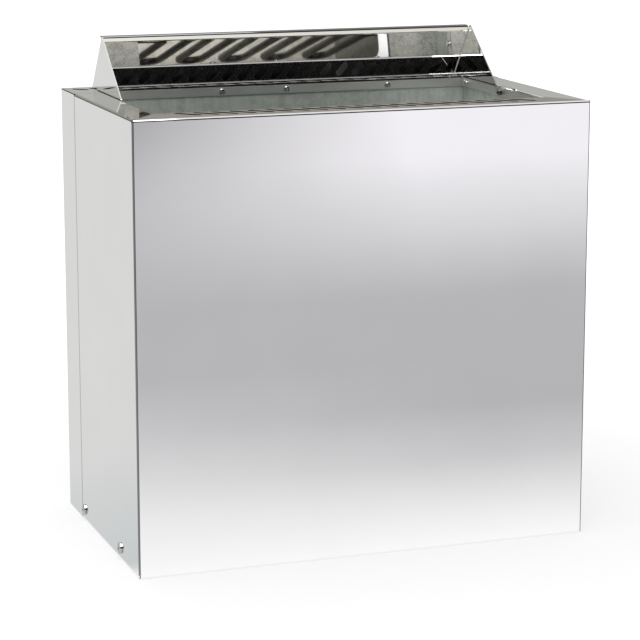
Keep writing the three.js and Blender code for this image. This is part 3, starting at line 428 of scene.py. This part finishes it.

# Studio floor: a sheet of matt white paper, laid flat under the heater and far out on all sides.
# The mirror sees a painted reflection in its place, near and far in front of the heater: a painted shadow
# grey at the panel's foot, white, then grey again.
FLOOR_REACH, FLOOR_DROP = 12.0, -0.3 * MM
CARD_NEAR, CARD_FAR, CARD_SLANT, CARD_LEFT, CARD_RIGHT = 0.35, -4.15, 0.36, -0.6, 0.1
GLOW_NEAR, GLOW_START, GLOW_END = 0.68, 0.5, 1.6
shape = bmesh.new()
bmesh.ops.create_grid(shape, x_segments=1, y_segments=1, size=FLOOR_REACH)
sheet = bpy.data.meshes.new("studio_floor")
shape.to_mesh(sheet)
shape.free()
floor = bpy.data.objects.new("studio_floor", sheet)
floor.location.z = FLOOR_DROP
bpy.context.collection.objects.link(floor)
paper, tree = finish_for("white_paper")
where = add(tree, "TexCoord").outputs["Object"]
place = add(tree, "SeparateXYZ", {"Vector": where})
ahead = add(tree, "MapRange", {"Value": place.outputs["Y"], "From Min": CARD_NEAR, "From Max": CARD_FAR})
# These tones are a painted reflection: painted shadow grey beside the heater's foot, then the room's grey
# bands.
left_tone = add(tree, "ValToRGB", {"Fac": ahead.outputs["Result"]}, stops=[
    (0.0, "#d5d6d5"), (0.1, "#c6cacb"), (0.111, "#fdfdfd"), (0.155, "#f5f5f5"), (0.23, "#d4d4d6"),
    (0.3, "#b9b9bb"), (0.4, "#b7b7b9"), (0.62, "#bcbcbe"), (0.9, "#aeaeb0"), (0.955, "#aeaeb0"),
    (1.0, "#ece9df"),
])
right_tone = add(tree, "ValToRGB", {"Fac": ahead.outputs["Result"]}, stops=[
    (0.0, "#d5d6d5"), (0.1, "#c6cacb"), (0.111, "#fdfdfd"), (0.132, "#f1f1f1"), (0.185, "#cacacc"),
    (0.24, "#b5b5b7"), (0.4, "#b8b8ba"), (0.52, "#d6d6d9"), (0.72, "#f3f2f6"), (0.955, "#f3f2f6"),
    (1.0, "#dedbd2"),
])
slant = add(tree, "Math", {
    0: place.outputs["Y"], 1: CARD_SLANT, 2: place.outputs["X"],
}, operation="MULTIPLY_ADD")
aside = add(tree, "MapRange", {"Value": slant.outputs[0], "From Min": CARD_LEFT, "From Max": CARD_RIGHT})
fall = add(tree, "Mix", {
    0: aside.outputs["Result"], 6: left_tone.outputs["Color"], 7: right_tone.outputs["Color"],
}, data_type="RGBA")
seen = add(tree, "LightPath")
lit = add(tree, "BsdfDiffuse", {"Color": colour("#f6f6f6")})
# Glossy rays see this glow, a painted reflection, instead of the lit paper.
painted_reflection = add(tree, "Emission", {"Color": fall.outputs[2], "Strength": 1.1})
away = add(tree, "VectorMath", {0: where}, operation="LENGTH")
spread = add(tree, "MapRange", {
    "Value": away.outputs["Value"], "From Min": GLOW_START, "From Max": GLOW_END,
    "To Min": GLOW_NEAR, "To Max": 1.0,
})
glow = add(tree, "Emission", {"Color": colour("#ffffff"), "Strength": spread.outputs["Result"]})
soft = add(tree, "BsdfDiffuse", {"Color": colour("#898989")})
lifted = add(tree, "AddShader", {0: soft.outputs[0], 1: glow.outputs[0]})
plain = add(tree, "MixShader", {0: seen.outputs["Is Camera Ray"], 1: lit.outputs[0], 2: lifted.outputs[0]})
both = add(tree, "MixShader", {0: seen.outputs["Is Glossy Ray"], 1: plain.outputs[0], 2: painted_reflection.outputs[0]})
add(tree, "OutputMaterial", {"Surface": both.outputs[0]})
sheet.materials.append(paper)

# Studio room: white overhead and behind the heater, dark behind the camera, with a greyer band low on its
# walls. Three soft lamps hang above the front, overhead and to the left, and look at the heater's middle.
ROOM_DARK, ROOM_LIGHT, BAND_FOOT, BAND_TOP, SKY = -1.0, 0.4, 0.05, 0.45, 0.8
LAMP_AIM = Vector((0, 0, 0.25))
world = bpy.data.worlds.new("studio_room")
world.use_nodes = True
tree = world.node_tree
tree.nodes.clear()
look = add(tree, "SeparateXYZ", {"Vector": add(tree, "TexCoord").outputs["Generated"]})
behind = add(tree, "MapRange", {"Value": look.outputs["Y"], "From Min": ROOM_DARK, "From Max": ROOM_LIGHT})
walls = add(tree, "ValToRGB", {"Fac": behind.outputs["Result"]}, stops=[
    (0.0, "#0d0c0b"), (0.35, "#343434"), (0.75, "#d8d8d8"), (1.0, "#f2f2f2"),
])
rise = add(tree, "MapRange", {"Value": look.outputs["Z"], "From Min": BAND_FOOT, "From Max": BAND_TOP})
band = add(tree, "ValToRGB", {"Fac": rise.outputs["Result"]}, stops=[
    (0.0, "#6a6d6b"), (0.16, "#c9cbc6"), (0.3, "#b4b2ab"), (0.55, "#a8a49c"), (0.75, "#c8c4bb"),
    (1.0, "#ffffff"),
])
room_tone = add(tree, "Mix", {
    0: 1.0, 6: walls.outputs["Color"], 7: band.outputs["Color"],
}, data_type="RGBA", blend_type="MULTIPLY")
overhead = add(tree, "MapRange", {"Value": look.outputs["Z"], "From Min": BAND_TOP, "From Max": SKY})
open_sky = add(tree, "Mix", {
    0: overhead.outputs["Result"], 6: room_tone.outputs[2], 7: colour("#ffffff"),
}, data_type="RGBA")
seen = add(tree, "LightPath")
room = add(tree, "Background", {"Color": open_sky.outputs[2], "Strength": 0.9})
white = add(tree, "Background", {"Color": colour("#ffffff"), "Strength": 1.0})
mixed = add(tree, "MixShader", {0: seen.outputs["Is Camera Ray"], 1: room.outputs[0], 2: white.outputs[0]})
add(tree, "OutputWorld", {"Surface": mixed.outputs[0]})
bpy.context.scene.world = world
for name, spot, size, power in [
    ("front_top", (-0.5, -1.5, 2.5), 1.3, 28), ("overhead", (-0.3, 0.2, 2.6), 2.0, 34),
    ("left", (-2.6, 0.2, 1.4), 1.8, 10),
]:
    lamp = bpy.data.lights.new(name, "AREA")
    lamp.size = size
    lamp.energy = power
    held = bpy.data.objects.new(name, lamp)
    held.location = spot
    held.rotation_euler = (LAMP_AIM - Vector(spot)).to_track_quat("-Z", "Y").to_euler()
    bpy.context.collection.objects.link(held)

# Camera: a long lens about 2.6 m to the front left of the heater and 0.78 m above the floor.
# It is turned to the right and dipped a little, which is the photograph's angle.
EYE, VIEW_TURN, VIEW_DIP = (-0.8751, -2.4566, 0.7772), math.radians(19.610), math.radians(11.945)
lens = bpy.data.cameras.new("camera")
lens.lens = 136.1
lens.sensor_width = 36
camera = bpy.data.objects.new("camera", lens)
camera.location = EYE
camera.rotation_euler = (math.pi / 2 - VIEW_DIP, 0, -VIEW_TURN)
bpy.context.collection.objects.link(camera)
scene = bpy.context.scene
scene.camera = camera
scene.view_settings.view_transform = "Standard"
